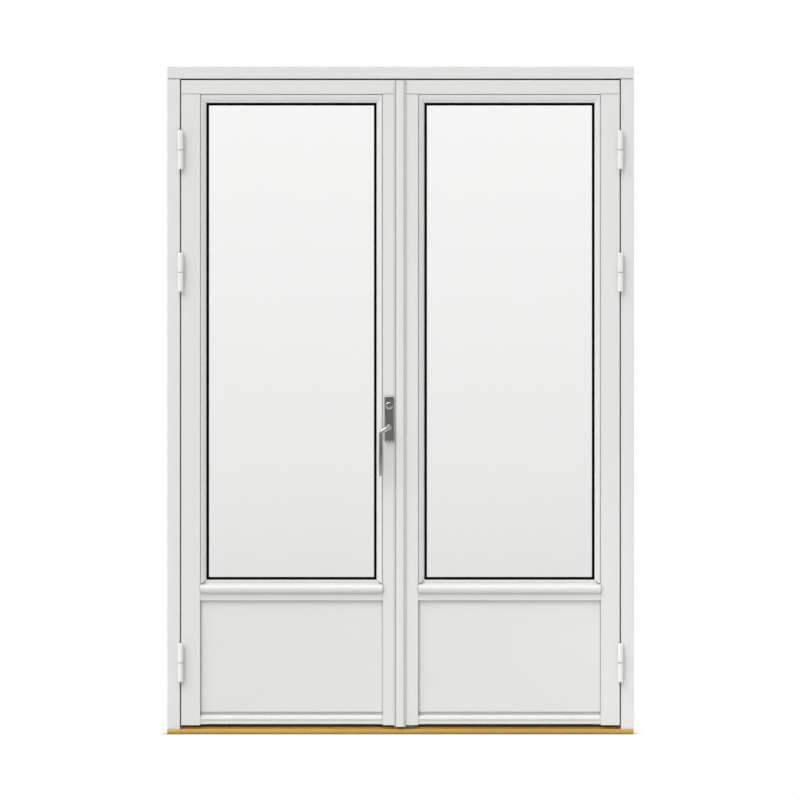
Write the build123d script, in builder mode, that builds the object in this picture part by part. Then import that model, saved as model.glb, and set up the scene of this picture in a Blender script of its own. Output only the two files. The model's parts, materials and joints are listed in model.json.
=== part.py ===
from build123d import *

import os
from math import acos, cos, pi, radians, sin, tan

# French doors: a pair of glazed leaves that open outwards, in a rebated frame on an oak threshold.
# Millimetres. +Z is up, the outside faces -Y, and the origin is the middle of the threshold's underside.

# Frame
frame_width = 1390.0
frame_height = 1990.0
frame_depth = 115.0
jamb_face = 38.5
head_face = 37.0
head_proud = 2.0
stop_lap = 13.0
side_gap = 3.0
head_gap = 4.5
seal_gap = 4.0
arris = 2.5

# Fixing screw holes through the jambs
fixing_hole_radius = 4.0
fixing_inset = 30.0
fixing_end_inset = 309.0
fixing_count = 4

# Threshold
threshold_nose_height = 15.0
threshold_nose_round = 5.0
threshold_proud = 6.0
threshold_height = 22.0
threshold_slope_inset = 10.0
threshold_slope_run = 6.0
threshold_stop_height = 40.0
threshold_stop_round = 4.0

# Seal in the frame's rebate
seal_width = 8.0
seal_inset = 2.5
seal_round = 2.0
seal_clearance = 0.3

# Leaves
leaf_thickness = 56.0
leaf_bottom_height = 27.0
meeting_line = 13.0
meeting_gap = 5.0
meeting_relief = 3.5
meeting_nib_depth = 7.5
hinge_stile_face = 57.0
lock_sight = 53.0
top_rail_face = 41.5
rail_setback = 2.0
joint_chamfer = 1.0

# Middle rail, with the weather bar on its step
mid_rail_low = 399.0
mid_rail_step = 417.0
mid_rail_floor = 446.0
panel_top_groove = 6.0
weather_bar_proud = 11.5
weather_bar_drip = 4.0

# Bottom rail, with a sloping nosing that sheds water
bottom_rail_low = 30.5
bottom_rail_top = 57.5
nosing_proud = 0.5
nosing_edge_height = 47.0
nosing_edge = 2.5
nosing_cove = 4.0

# Lower panel
panel_setback = 11.0
panel_clearance = 0.8
panel_drip_height = 9.5
panel_drip_depth = 6.0

# Glazing
bead_width = 18.0
top_bead_height = 25.5
bottom_bead_height = 14.0
bottom_bead_step = 4.0
bead_depth = 15.0
bead_land = 3.0
bead_fall = 10.0
bead_setback = 0.5
bead_round_shares = (0.6, 0.42)
bead_quirk_width = 2.2
bead_quirk_depth = 3.5
gasket_depth = 3.0
gasket_show = 8.0
pane_thickness = 4.0
glass_space = 16.0
glass_clearance = 4.0
spacer_inset = 2.0
spacer_width = 16.0

# Astragal that covers the meeting edges
astragal_lap = 13.0
astragal_quirk = 2.5
astragal_quirk_floor = 1.2
astragal_rim = 2.0
astragal_rim_height = 4.0
astragal_thickness = 8.0
astragal_round = 3.0
astragal_low = 22.5
astragal_top_gap = 5.0
astragal_lip = 3.0
astragal_lip_clearance = 0.5

# Lift-off hinges, three to a leaf
low_hinge_rise = 186.0
upper_hinge_drops = [572.5, 208.0]
knuckle_radius = 9.0
knuckle_length = 58.0
knuckle_round = 5.0
knuckle_standoff = 1.5
hinge_plate_thickness = 1.5
hinge_plate_depth = 38.0
hinge_plate_margin = 4.0
hinge_pin_radius = 4.5
hinge_pin_reach = 32.0
hinge_pin_headroom = 1.0
hinge_collar_radius = 7.0
hinge_collar_thickness = 2.5
running_clearance = 0.05

# Handles on the left leaf
spindle_x = -33.5
spindle_height = 914.0
spindle_square = 7.0
spindle_reach = 12.0
spindle_hole_radius = 7.5
handle_plate_width = 28.0
handle_plate_rise = 93.0
handle_plate_fall = 42.0
handle_plate_thickness = 8.0
handle_plate_corner = 4.0
handle_plate_round = 2.5
hub_radius = 9.0
hub_seat = 5.0
hub_stand = 9.0
hub_round = 2.5
lever_reach = 34.0
lever_crank = 24.5
lever_drop = 52.0
lever_bend = 14.0
neck_fall = 13.0
neck_radius = 7.0
grip_radius = 7.5
grip_end_radius = 6.5
grip_length = 93.0
grip_end_round = 4.0

# Rack-and-pinion espagnolette in the left leaf's meeting stile
gear_module = 1.5
pinion_teeth = 12
pressure_angle = 20.0
pinion_addendum_share = 0.8
rack_addendum_share = 0.7
root_clearance = 0.35
backlash = 0.3
flank_steps = 4
pinion_thickness = 8.0
pinion_hub_radius = 6.0
rack_teeth = 6
rack_lead_teeth = 2
rack_backing = 3.9
slider_thickness = 6.0
slider_clearance = 0.4
slider_arm_start = 24.0
slider_arm_width = 8.0
lock_case_thickness = 16.0
lock_case_wall = 1.5
lock_case_half_height = 50.0
faceplate_thickness = 3.0
rod_width = 8.5
rod_clearance = 0.5
bolt_setback = 1.0
bolt_point = 1.5

# Edge bolts of the right leaf
edge_bolt_length = 240.0
edge_bolt_channel = 262.0
edge_bolt_plate_thickness = 3.0
thumb_slot_width = 6.4
thumb_slot_length = 40.0
thumb_slot_from_foot = 60.0
thumb_width = 5.6
thumb_length = 12.0
thumb_setback = 0.8

# Keeps for the bolts
keep_length = 56.0
keep_thickness = 2.0
keep_clearance = 0.75
head_keep_depth = 18.0
threshold_keep_depth = 13.0

# One overrun for every cut that leaves the material
overrun = 1.0

# Places that follow from those sizes
front_y = -frame_depth / 2
back_y = frame_depth / 2
rebate_x = frame_width / 2 - jamb_face
stop_x = rebate_x - side_gap - stop_lap
head_low = frame_height - head_face
head_stop_low = head_low - head_gap - stop_lap
leaf_front = front_y
leaf_back = leaf_front + leaf_thickness
stop_y = leaf_back + seal_gap
leaf_top = head_low - head_gap
hinge_edge = rebate_x - side_gap
hinge_sight = hinge_edge - hinge_stile_face
top_rail_low = leaf_top - top_rail_face
gasket_front = leaf_front + bead_depth
glass_front = gasket_front + gasket_depth
spacer_front = glass_front + pane_thickness
inner_pane_front = spacer_front + glass_space
lip_front = inner_pane_front + pane_thickness
rail_front = leaf_front + rail_setback
bottom_bead_top = mid_rail_floor + bottom_bead_height
panel_front = leaf_front + panel_setback

hinge_axis_x = rebate_x - side_gap / 2
hinge_axis_y = front_y - knuckle_radius - knuckle_standoff
hinge_bore_radius = hinge_pin_radius + running_clearance
hinge_heights = [leaf_bottom_height + low_hinge_rise] + [leaf_top - drop for drop in upper_hinge_drops]
fixing_low = threshold_nose_height + fixing_end_inset
fixing_spacing = (head_low - fixing_end_inset - fixing_low) / (fixing_count - 1)
fixing_heights = [fixing_low + place * fixing_spacing for place in range(fixing_count)]

# The leaf's sides, as signs of X, and where each meeting edge lies on its own side of the middle
left = -1
right = 1
meeting_edge = {left: -(meeting_line - meeting_gap / 2), right: meeting_line + meeting_gap / 2}
relieved_edge = meeting_edge[right] + meeting_relief
side_name = {left: "left", right: "right"}

# The places of the espagnolette, the edge bolts and the handles
lock_middle_y = leaf_front + leaf_thickness / 2
lock_front = lock_middle_y - lock_case_thickness / 2
lock_back = lock_middle_y + lock_case_thickness / 2
faceplate_back = -meeting_edge[left] - faceplate_thickness
rod_outer = faceplate_back - rod_clearance
rod_inner = rod_outer - rod_width
edge_bolt_inner = relieved_edge + edge_bolt_plate_thickness + rod_clearance
edge_bolt_outer = edge_bolt_inner + rod_width
handle_plate_top = spindle_height + handle_plate_rise
handle_plate_low = spindle_height - handle_plate_fall
pitch_radius = gear_module * pinion_teeth / 2
rack_pitch = pi * gear_module
pinion_addendum = pinion_addendum_share * gear_module
rack_addendum = rack_addendum_share * gear_module
rack_root = pitch_radius + pinion_addendum + root_clearance
rack_back = rack_root + rack_backing
case_inner_x = spindle_x - rack_back - slider_clearance
case_outer_x = case_inner_x - lock_case_wall
bolt_middles = [(rod_inner + rod_outer) / 2, (edge_bolt_inner + edge_bolt_outer) / 2]

os.makedirs("parts", exist_ok=True)


def save(builder, name):
    """Label a finished piece and write it to a file of its own."""
    builder.part.label = name
    export_step(builder.part, f"parts/{name}.step")


def upright_plane(depth):
    """An upright plane across the doorway at that depth, with X to the right and Z up."""
    return Plane.XZ.offset(-depth)


def box_points(low, high):
    """The four corners of an upright rectangle between two opposite corners."""
    return [low, (high[0], low[1]), high, (low[0], high[1])]


def across(side, start, end):
    """The lower X of a stretch on one side of the middle, and its length."""
    return min(side * start, side * end), abs(end - start)


# Frame


def make_jamb(side):
    """An L-shaped jamb whose stop the leaf closes against, bored for the fixing screws."""
    section = [
        (frame_width / 2, front_y),
        (rebate_x, front_y),
        (rebate_x, stop_y),
        (stop_x, stop_y),
        (stop_x, back_y),
        (frame_width / 2, back_y),
    ]
    with BuildPart() as jamb:
        with BuildSketch(Plane.XY.offset(threshold_nose_height)):
            Polygon([(side * x, y) for x, y in section])
        extrude(amount=head_low - threshold_nose_height)
        fillet(jamb.edges().filter_by(Axis.Z).group_by(Axis.Y)[0], arris)
        hole_places = [(side * frame_width / 2, front_y + fixing_inset, height) for height in fixing_heights]
        with Locations([Location(place, (0, 90, 0)) for place in hole_places]):
            Hole(fixing_hole_radius)
    save(jamb, f"{side_name[side]}_jamb")


def cut_bolt_pockets(height, depth):
    """Cut the pockets that the bolts shoot into, from a level face and along its normal."""
    with BuildSketch(Plane.XY.offset(height)) as pockets:
        with Locations([(middle, lock_middle_y) for middle in bolt_middles]):
            Rectangle(rod_width + 2 * keep_clearance, slider_thickness + 2 * keep_clearance)
    extrude(pockets.sketch, amount=depth, mode=Mode.SUBTRACT)


def make_head():
    """The head, which runs over both jambs and stands a little proud of them."""
    with BuildPart() as head:
        with BuildSketch(Plane.YZ.offset(-frame_width / 2)):
            Polygon(box_points((front_y - head_proud, head_low), (back_y, frame_height)))
        extrude(amount=frame_width)
        front_edges = head.faces().sort_by(Axis.Y)[0].edges()
        fillet(front_edges, arris)
        with BuildSketch(Plane.YZ.offset(-stop_x)):
            Polygon(box_points((stop_y, head_stop_low), (back_y, head_low)))
        extrude(amount=2 * stop_x)
        cut_bolt_pockets(head_low, head_keep_depth)
    save(head, "frame_head")


def make_threshold():
    """The oak threshold: a nosed board under the jambs, sloped up to the leaves and to a stop behind them."""
    slope_start = front_y + threshold_slope_inset
    with BuildPart() as threshold:
        with BuildSketch(Plane.YZ.offset(-frame_width / 2)):
            Polygon(box_points((front_y - threshold_proud, 0), (back_y, threshold_nose_height)))
        extrude(amount=frame_width)
        nose_edges = threshold.faces().sort_by(Axis.Y)[0].edges().filter_by(Axis.X)
        fillet(nose_edges, threshold_nose_round)
        with BuildSketch(Plane.YZ.offset(-rebate_x)):
            Polygon(
                [
                    (slope_start, threshold_nose_height),
                    (slope_start + threshold_slope_run, threshold_height),
                    (stop_y, threshold_height),
                    (stop_y, threshold_nose_height),
                ]
            )
        extrude(amount=2 * rebate_x)
        with BuildSketch(Plane.YZ.offset(-stop_x)):
            Polygon(box_points((stop_y, threshold_nose_height), (back_y, threshold_stop_height)))
        extrude(amount=2 * stop_x)
        fillet(threshold.faces().sort_by(Axis.Z)[-1].edges().filter_by(Axis.X), threshold_stop_round)
        cut_bolt_pockets(threshold_height, -threshold_keep_depth)
    save(threshold, "threshold")


def make_frame_seal():
    """The bulb seal that runs round the stops and presses on the closed leaves."""
    half_width = stop_x + seal_inset + seal_width
    low = threshold_stop_height - seal_inset - seal_width
    high = head_stop_low + seal_inset + seal_width
    middle = (low + high) / 2
    with BuildPart() as seal:
        with BuildSketch(upright_plane(stop_y)):
            with Locations((0, middle)):
                Rectangle(2 * half_width, high - low)
                Rectangle(2 * (half_width - seal_width), high - low - 2 * seal_width, mode=Mode.SUBTRACT)
        extrude(amount=seal_gap - seal_clearance)
        fillet(seal.faces().sort_by(Axis.Y)[0].edges(), seal_round)
    save(seal, "frame_seal")


def make_bolt_keeps():
    """Two slotted steel keeps, one under the head and one on the threshold."""
    middle = sum(bolt_middles) / len(bolt_middles)
    with BuildPart() as keeps:
        for height in (head_low - keep_thickness, threshold_height):
            with BuildSketch(Plane.XY.offset(height)):
                with Locations((middle, lock_middle_y)):
                    Rectangle(keep_length, lock_case_thickness)
                with Locations([(place, lock_middle_y) for place in bolt_middles]):
                    Rectangle(
                        rod_width + 2 * keep_clearance, slider_thickness + 2 * keep_clearance, mode=Mode.SUBTRACT
                    )
            extrude(amount=keep_thickness)
    save(keeps, "bolt_keeps")


# Hinges


def add_hinge_half(side, split, up, wood_x):
    """Add one half of a lift-off hinge: a domed, bored knuckle and the plate that lies on the wood beside it."""
    axis_x = side * hinge_axis_x
    start = up * hinge_collar_thickness / 2
    end = up * knuckle_length
    bore_end = up * (hinge_pin_reach + hinge_pin_headroom)
    shoulder = end - up * knuckle_round
    tip_radius = knuckle_radius - knuckle_round
    axis_plane = Plane(origin=(axis_x, hinge_axis_y, split), x_dir=(1, 0, 0), z_dir=(0, -1, 0))
    with BuildSketch(axis_plane) as knuckle:
        with BuildLine():
            Polyline((0, end), (0, bore_end), (hinge_bore_radius, bore_end), (hinge_bore_radius, start))
            Polyline((hinge_bore_radius, start), (knuckle_radius, start), (knuckle_radius, shoulder))
            TangentArc((knuckle_radius, shoulder), (tip_radius, end), tangent=(0, up))
            Line((tip_radius, end), (0, end))
        make_face()
    revolve(knuckle.sketch, axis=Axis((axis_x, hinge_axis_y, 0), (0, 0, 1)))
    plate_low = min(start + up * hinge_plate_margin, end - up * hinge_plate_margin)
    plate_height = abs(end - start) - 2 * hinge_plate_margin
    plate_start = hinge_axis_y + (hinge_bore_radius + knuckle_radius) / 2
    plate_inner = wood_x + hinge_plate_thickness if wood_x < hinge_axis_x else wood_x - hinge_plate_thickness
    low_x, plate_width = across(side, wood_x, plate_inner)
    with BuildSketch(Plane.XY.offset(split + plate_low)) as plate:
        Polygon(box_points((low_x, plate_start), (low_x + plate_width, front_y + hinge_plate_depth)))
    extrude(plate.sketch, amount=plate_height)


def make_hinges(side):
    """The hinges of one leaf: lower halves on the jamb, as one group, and an upper half each on the leaf."""
    with BuildPart() as frame_halves:
        for split in hinge_heights:
            add_hinge_half(side, split, -1, rebate_x)
    save(frame_halves, f"{side_name[side]}_hinge_frame_leaves")
    for place, split in zip(("low", "middle", "top"), hinge_heights):
        with BuildPart() as leaf_half:
            add_hinge_half(side, split, 1, hinge_edge)
        save(leaf_half, f"{side_name[side]}_{place}_hinge_leaf")


def make_hinge_pins():
    """Turned hinge pins, each with the collar that the leaf's half of the hinge bears on."""
    with BuildPart() as pins:
        for side in (left, right):
            for split in hinge_heights:
                axis_x = side * hinge_axis_x
                with BuildSketch(Plane.XY.offset(split - hinge_pin_reach)):
                    with Locations((axis_x, hinge_axis_y)):
                        Circle(hinge_pin_radius)
                extrude(amount=2 * hinge_pin_reach)
                with BuildSketch(Plane.XY.offset(split - hinge_collar_thickness / 2)):
                    with Locations((axis_x, hinge_axis_y)):
                        Circle(hinge_collar_radius)
                extrude(amount=hinge_collar_thickness)
    save(pins, "hinge_pins")


# Leaves


def cut_box(low, high):
    """Cut an upright box between two opposite corners from the part that is open."""
    with BuildSketch(Plane.XY.offset(low[2])) as floor:
        Polygon(box_points(low[:2], high[:2]))
    extrude(floor.sketch, amount=high[2] - low[2], mode=Mode.SUBTRACT)


def cut_meeting_relief():
    """Cut the right leaf's meeting edge back behind a nib, so that it swings past the astragal."""
    cut_box(
        (meeting_edge[right] - overrun, leaf_front + meeting_nib_depth, leaf_bottom_height),
        (relieved_edge, leaf_back + overrun, leaf_top),
    )


def cut_bolt_channels(side):
    """Cut the grooves in a leaf's meeting edge that its bolts run in."""
    if side == left:
        low_x = rod_inner - rod_clearance
        stretches = [(leaf_bottom_height, leaf_top)]
        high_x = -meeting_edge[left]
    else:
        cut_meeting_relief()
        low_x = relieved_edge
        stretches = [
            (leaf_bottom_height, leaf_bottom_height + edge_bolt_channel),
            (leaf_top - edge_bolt_channel, leaf_top),
        ]
        high_x = edge_bolt_outer + rod_clearance
    for low, high in stretches:
        cut_box((low_x, lock_front, low), (high_x, lock_back, high))


def cut_lock_mortise():
    """Cut the pocket for the lock case and the hole for the spindle."""
    cut_box(
        (case_outer_x, lock_front, spindle_height - lock_case_half_height),
        (-meeting_edge[left], lock_back, spindle_height + lock_case_half_height),
    )
    with Locations(Location((spindle_x, leaf_front, spindle_height), (90, 0, 0))):
        Hole(spindle_hole_radius)


def make_stile(side, name, edge, sight, inwards):
    """A stile with the glazing rebate open to the outside. inwards is the way from the stile to the glass."""
    lip_x = sight + inwards * bead_width
    section = [
        (edge, leaf_front),
        (sight - inwards * joint_chamfer, leaf_front),
        (sight, leaf_front + joint_chamfer),
        (sight, lip_front),
        (lip_x, lip_front),
        (lip_x, leaf_back),
        (edge, leaf_back),
    ]
    with BuildPart() as stile:
        with BuildSketch(Plane.XY.offset(leaf_bottom_height)):
            Polygon([(side * x, y) for x, y in section])
        extrude(amount=top_rail_low - leaf_bottom_height)
        outer_edges = stile.edges().filter_by(Axis.Z).group_by(Axis.Y)[0].sort_by(Axis.X)
        fillet(outer_edges[0 if side * inwards > 0 else -1], arris)
        if name == "lock_stile":
            cut_bolt_channels(side)
            if side == left:
                cut_lock_mortise()
    save(stile, f"{side_name[side]}_{name}")


def make_rail(side, name, front_section, lip_low, lip_high):
    """A rail between the stiles: its front section, and the lip that the glass or panel bears on."""
    start, length = across(side, lock_sight, hinge_sight)
    lip_start, lip_length = across(side, lock_sight + bead_width, hinge_sight - bead_width)
    with BuildPart() as rail:
        with BuildSketch(Plane.YZ.offset(start)):
            Polygon(front_section)
        extrude(amount=length)
        with BuildSketch(Plane.YZ.offset(lip_start)):
            Polygon(box_points((lip_front, lip_low), (leaf_back, lip_high)))
        extrude(amount=lip_length)
    save(rail, f"{side_name[side]}_{name}")


def make_top_rail(side):
    """The top rail, which runs over both stiles, with its lip between them."""
    start, length = across(side, meeting_edge[side], hinge_edge)
    lip_start, lip_length = across(side, lock_sight + bead_width, hinge_sight - bead_width)
    with BuildPart() as rail:
        with BuildSketch(Plane.YZ.offset(start)):
            Polygon(
                [
                    (leaf_front, leaf_top),
                    (leaf_front, top_rail_low + joint_chamfer),
                    (leaf_front + joint_chamfer, top_rail_low),
                    (leaf_back, top_rail_low),
                    (leaf_back, leaf_top),
                ]
            )
        extrude(amount=length)
        upper_front_edges = rail.faces().sort_by(Axis.Y)[0].edges().sort_by(Axis.Z)[1:]
        fillet(upper_front_edges, arris)
        with BuildSketch(Plane.YZ.offset(lip_start)):
            Polygon(box_points((lip_front, top_rail_low - top_bead_height), (leaf_back, top_rail_low)))
        extrude(amount=lip_length)
        cut_bolt_channels(side)
    save(rail, f"{side_name[side]}_top_rail")


def make_mid_rail(side):
    """The middle rail, stepped for the weather bar and grooved below for the panel."""
    section = [
        (rail_front, mid_rail_low),
        (panel_front, mid_rail_low),
        (panel_front, mid_rail_low + panel_top_groove),
        (lip_front, mid_rail_low + panel_top_groove),
        (lip_front, mid_rail_floor),
        (gasket_front, mid_rail_floor),
        (gasket_front, mid_rail_step),
        (rail_front, mid_rail_step),
    ]
    lip_low = mid_rail_low + panel_top_groove - bead_width
    make_rail(side, "mid_rail", section, lip_low, bottom_bead_top)


def make_bottom_rail(side):
    """The bottom rail, whose nosing slopes out from under the panel."""
    nosing_front = leaf_front - nosing_proud
    section = [
        (rail_front, bottom_rail_low),
        (rail_front, nosing_edge_height - nosing_edge - nosing_cove),
        (nosing_front, nosing_edge_height - nosing_edge),
        (nosing_front, nosing_edge_height),
        (panel_front, bottom_rail_top),
        (lip_front, bottom_rail_top),
        (lip_front, bottom_rail_low),
    ]
    make_rail(side, "bottom_rail", section, bottom_rail_low, bottom_rail_top + bead_width)


def make_panel(side):
    """The lower panel, let into the rebate, with a drip edge above the bottom rail's nosing."""
    start, length = across(side, lock_sight + panel_clearance, hinge_sight - panel_clearance)
    drip_low = bottom_rail_top + panel_drip_height
    with BuildPart() as panel:
        with BuildSketch(Plane.YZ.offset(start)):
            Polygon(
                [
                    (panel_front + panel_drip_depth, bottom_rail_top),
                    (lip_front, bottom_rail_top),
                    (lip_front, mid_rail_low + panel_top_groove - panel_clearance),
                    (panel_front, mid_rail_low + panel_top_groove - panel_clearance),
                    (panel_front, drip_low),
                    (panel_front + panel_drip_depth, drip_low),
                ]
            )
        extrude(amount=length)
    save(panel, f"{side_name[side]}_panel")


# Glazing


def glass_outline(side, inset):
    """Opposite corners of the glass unit's outline, drawn in by an inset on every edge."""
    start, length = across(side, lock_sight + glass_clearance, hinge_sight - glass_clearance)
    low = mid_rail_floor + glass_clearance
    high = top_rail_low - glass_clearance
    return (start + inset, low + inset), (start + length - inset, high - inset)


def make_pane(side, name, front):
    """One pane of the sealed unit."""
    with BuildPart() as pane:
        with BuildSketch(upright_plane(front)):
            Polygon(box_points(*glass_outline(side, 0)))
        extrude(amount=-pane_thickness)
    save(pane, f"{side_name[side]}_{name}")


def make_spacer(side):
    """The black spacer bar that holds the two panes apart."""
    with BuildPart() as spacer:
        with BuildSketch(upright_plane(spacer_front)):
            Polygon(box_points(*glass_outline(side, spacer_inset)))
        extrude(amount=-glass_space)
        with BuildSketch(upright_plane(spacer_front)):
            Polygon(box_points(*glass_outline(side, spacer_inset + spacer_width)))
        extrude(amount=-glass_space, mode=Mode.SUBTRACT)
    save(spacer, f"{side_name[side]}_spacer")


def make_gasket(side):
    """The black gasket between the beads and the glass, which shows inside the beads."""
    start, length = across(side, lock_sight, hinge_sight)
    edge = bead_width + gasket_show
    low = bottom_bead_top + gasket_show
    high = top_rail_low - top_bead_height - gasket_show
    with BuildPart() as gasket:
        with BuildSketch(upright_plane(gasket_front)):
            Polygon(box_points(*glass_outline(side, 0)))
        extrude(amount=-gasket_depth)
        with BuildSketch(upright_plane(gasket_front)):
            Polygon(box_points((start + edge, low), (start + length - edge, high)))
        extrude(amount=-gasket_depth, mode=Mode.SUBTRACT)
    save(gasket, f"{side_name[side]}_gasket")


def draw_bead(width, place):
    """Draw a bead's section in the open sketch: a quirk, a land, then a rounded fall to the glass.

    place turns (distance from the rebate's wall, depth) into the sketch's own axes."""
    bead_front = leaf_front + bead_setback
    run_share, fall_share = bead_round_shares
    fall_start = place(bead_land, bead_front)
    fall_middle = place(bead_land + run_share * (width - bead_land), bead_front + fall_share * bead_fall)
    fall_end = place(width, bead_front + bead_fall)
    quirk_floor = bead_front + bead_quirk_depth
    quirk_start = place(0, quirk_floor)
    quirk_end = place(bead_quirk_width, quirk_floor)
    with BuildLine() as section:
        Polyline(fall_end, place(width, gasket_front), place(0, gasket_front), quirk_start)
        Polyline(quirk_start, quirk_end, place(bead_quirk_width, bead_front), fall_start)
        ThreePointArc(fall_start, fall_middle, fall_end)
    make_face(section.edges())


def draw_cove(width, place):
    """Draw the bottom bead's section in the open sketch: a step down from the weather bar, then a level face."""
    bead_front = leaf_front + bead_setback
    cove_floor = bead_front + bead_fall
    Polygon(
        [
            place(0, bead_front),
            place(bottom_bead_step, cove_floor),
            place(width, cove_floor),
            place(width, gasket_front),
            place(0, gasket_front),
        ]
    )


def mitre_points(side, inwards, sight):
    """The outline, seen from the front, that keeps a side bead between the mitres at its ends."""
    inner = sight + inwards * bead_width
    return [
        (side * sight, mid_rail_floor),
        (side * inner, bottom_bead_top),
        (side * inner, top_rail_low - top_bead_height),
        (side * sight, top_rail_low),
    ]


def make_side_bead(side, name, sight, inwards):
    """An upright bead in the rebate, mitred at both ends."""
    with BuildPart() as bead:
        with BuildSketch(Plane.XY.offset(mid_rail_floor)):
            draw_bead(bead_width, lambda distance, depth: (side * (sight + inwards * distance), depth))
        extrude(amount=top_rail_low - mid_rail_floor)
        with BuildSketch(upright_plane(leaf_front - overrun)):
            Polygon(mitre_points(side, inwards, sight))
        extrude(amount=-leaf_thickness, mode=Mode.INTERSECT)
    save(bead, f"{side_name[side]}_{name}")


def make_level_bead(side, name, wall, width, inwards, draw_section):
    """A level bead along a rail, mitred at both ends. inwards is the way from the rail to the glass, up or down."""
    start, length = across(side, lock_sight, hinge_sight)
    inner = wall + inwards * width
    with BuildPart() as bead:
        with BuildSketch(Plane.YZ.offset(start)):
            draw_section(width, lambda distance, depth: (depth, wall + inwards * distance))
        extrude(amount=length)
        with BuildSketch(upright_plane(leaf_front - overrun)):
            Polygon(
                [
                    (start, wall),
                    (start + bead_width, inner),
                    (start + length - bead_width, inner),
                    (start + length, wall),
                ]
            )
        extrude(amount=-leaf_thickness, mode=Mode.INTERSECT)
    save(bead, f"{side_name[side]}_{name}")


def make_weather_bar(side):
    """The bull-nosed weather bar below the bottom bead, which throws water clear of the rail."""
    start, length = across(side, lock_sight, hinge_sight)
    nose_tip = (leaf_front - weather_bar_proud, (mid_rail_step + mid_rail_floor) / 2)
    nose_end = (leaf_front - rail_setback, mid_rail_step + weather_bar_drip)
    with BuildPart() as bar:
        with BuildSketch(Plane.YZ.offset(start)):
            with BuildLine():
                Polyline(
                    nose_end,
                    (rail_front, mid_rail_step + weather_bar_drip),
                    (rail_front, mid_rail_step),
                    (gasket_front, mid_rail_step),
                    (gasket_front, mid_rail_floor),
                    (leaf_front, mid_rail_floor),
                )
                ThreePointArc((leaf_front, mid_rail_floor), nose_tip, nose_end)
            make_face()
        extrude(amount=length)
    save(bar, f"{side_name[side]}_weather_bar")


def make_astragal():
    """The moulded strip on the left leaf's meeting stile, with a lip that covers the gap to the right leaf."""
    high = leaf_top + head_gap - astragal_top_gap
    lip_end = meeting_edge[right] - astragal_lip_clearance
    quirk_start = -astragal_lap - astragal_quirk
    rim_start = quirk_start - astragal_rim
    strip_front = leaf_front - astragal_thickness
    with BuildPart() as strip:
        with BuildSketch(Plane.XY.offset(astragal_low)):
            Polygon(
                [
                    (rim_start, leaf_front),
                    (rim_start, leaf_front - astragal_rim_height),
                    (quirk_start, leaf_front - astragal_rim_height),
                    (quirk_start, leaf_front - astragal_quirk_floor),
                    (-astragal_lap, leaf_front - astragal_quirk_floor),
                    (-astragal_lap, strip_front),
                    (-meeting_edge[left], strip_front),
                    (-meeting_edge[left], leaf_front),
                ]
            )
        extrude(amount=high - astragal_low)
        fillet(strip.edges().filter_by(Axis.Z).group_by(Axis.Y)[0], astragal_round)
        with BuildSketch(Plane.XY.offset(astragal_low)):
            Polygon(box_points((-meeting_edge[left], leaf_front - astragal_lip), (lip_end, leaf_front)))
        extrude(amount=high - astragal_low)
    save(strip, "astragal")


# Handles


def make_handle_plate(name, face, outwards):
    """A narrow handle plate on one face of the leaf, bored for the lever's hub."""
    middle = (handle_plate_low + handle_plate_top) / 2
    plate_plane = Plane(origin=(spindle_x, face, middle), x_dir=(1, 0, 0), z_dir=(0, outwards, 0))
    with BuildPart() as plate:
        with BuildSketch(plate_plane):
            RectangleRounded(handle_plate_width, handle_plate_top - handle_plate_low, handle_plate_corner)
        extrude(amount=handle_plate_thickness)
        outer_face = plate.faces().sort_by(Axis.Y)[0 if outwards < 0 else -1]
        fillet(outer_face.edges(), handle_plate_round)
        with Locations(Location((spindle_x, face, spindle_height), (90, 0, 0))):
            Hole(hub_radius + running_clearance)
    save(plate, name)


def make_lever(name, face, outwards):
    """A cranked lever: a hub in the plate, a neck that leaves it sideways and a grip that hangs beside it."""
    hub_start = face + outwards * (handle_plate_thickness - hub_seat)
    hub_length = hub_seat + hub_stand
    arm_depth = face + outwards * (handle_plate_thickness + lever_reach)
    grip_x = spindle_x - lever_crank
    grip_top = spindle_height - lever_drop
    grip_low = grip_top - grip_length
    hub_plane = Plane(origin=(spindle_x, hub_start, spindle_height), x_dir=(1, 0, 0), z_dir=(0, outwards, 0))
    grip_plane = Plane(origin=(grip_x, arm_depth, 0), x_dir=(1, 0, 0), z_dir=(0, -1, 0))
    with BuildPart() as lever:
        with BuildSketch(hub_plane):
            Circle(hub_radius)
        extrude(amount=hub_length)
        hub_rims = lever.edges().filter_by(GeomType.CIRCLE).sort_by(Axis.Y)
        fillet(hub_rims[0 if outwards < 0 else -1], hub_round)
        with BuildLine():
            FilletPolyline(
                (spindle_x, hub_start, spindle_height),
                (spindle_x, arm_depth, spindle_height),
                (grip_x, arm_depth, spindle_height - neck_fall),
                (grip_x, arm_depth, grip_low + grip_length / 2),
                radius=lever_bend,
            )
        with BuildSketch(hub_plane):
            Circle(neck_radius)
        sweep()
        with BuildSketch(grip_plane):
            with BuildLine():
                Polyline((0, grip_top), (0, grip_low), (grip_end_radius - grip_end_round, grip_low))
                TangentArc(
                    (grip_end_radius - grip_end_round, grip_low),
                    (grip_end_radius, grip_low + grip_end_round),
                    tangent=(1, 0),
                )
                ThreePointArc(
                    (grip_end_radius, grip_low + grip_end_round),
                    (grip_radius, (grip_low + grip_top) / 2),
                    (neck_radius, grip_top),
                )
                Line((neck_radius, grip_top), (0, grip_top))
            make_face()
        revolve(axis=Axis((grip_x, arm_depth, 0), (0, 0, 1)))
        with BuildSketch(hub_plane):
            Rectangle(spindle_square + 2 * running_clearance, spindle_square + 2 * running_clearance)
        extrude(amount=spindle_reach, mode=Mode.SUBTRACT)
    save(lever, name)


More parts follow.
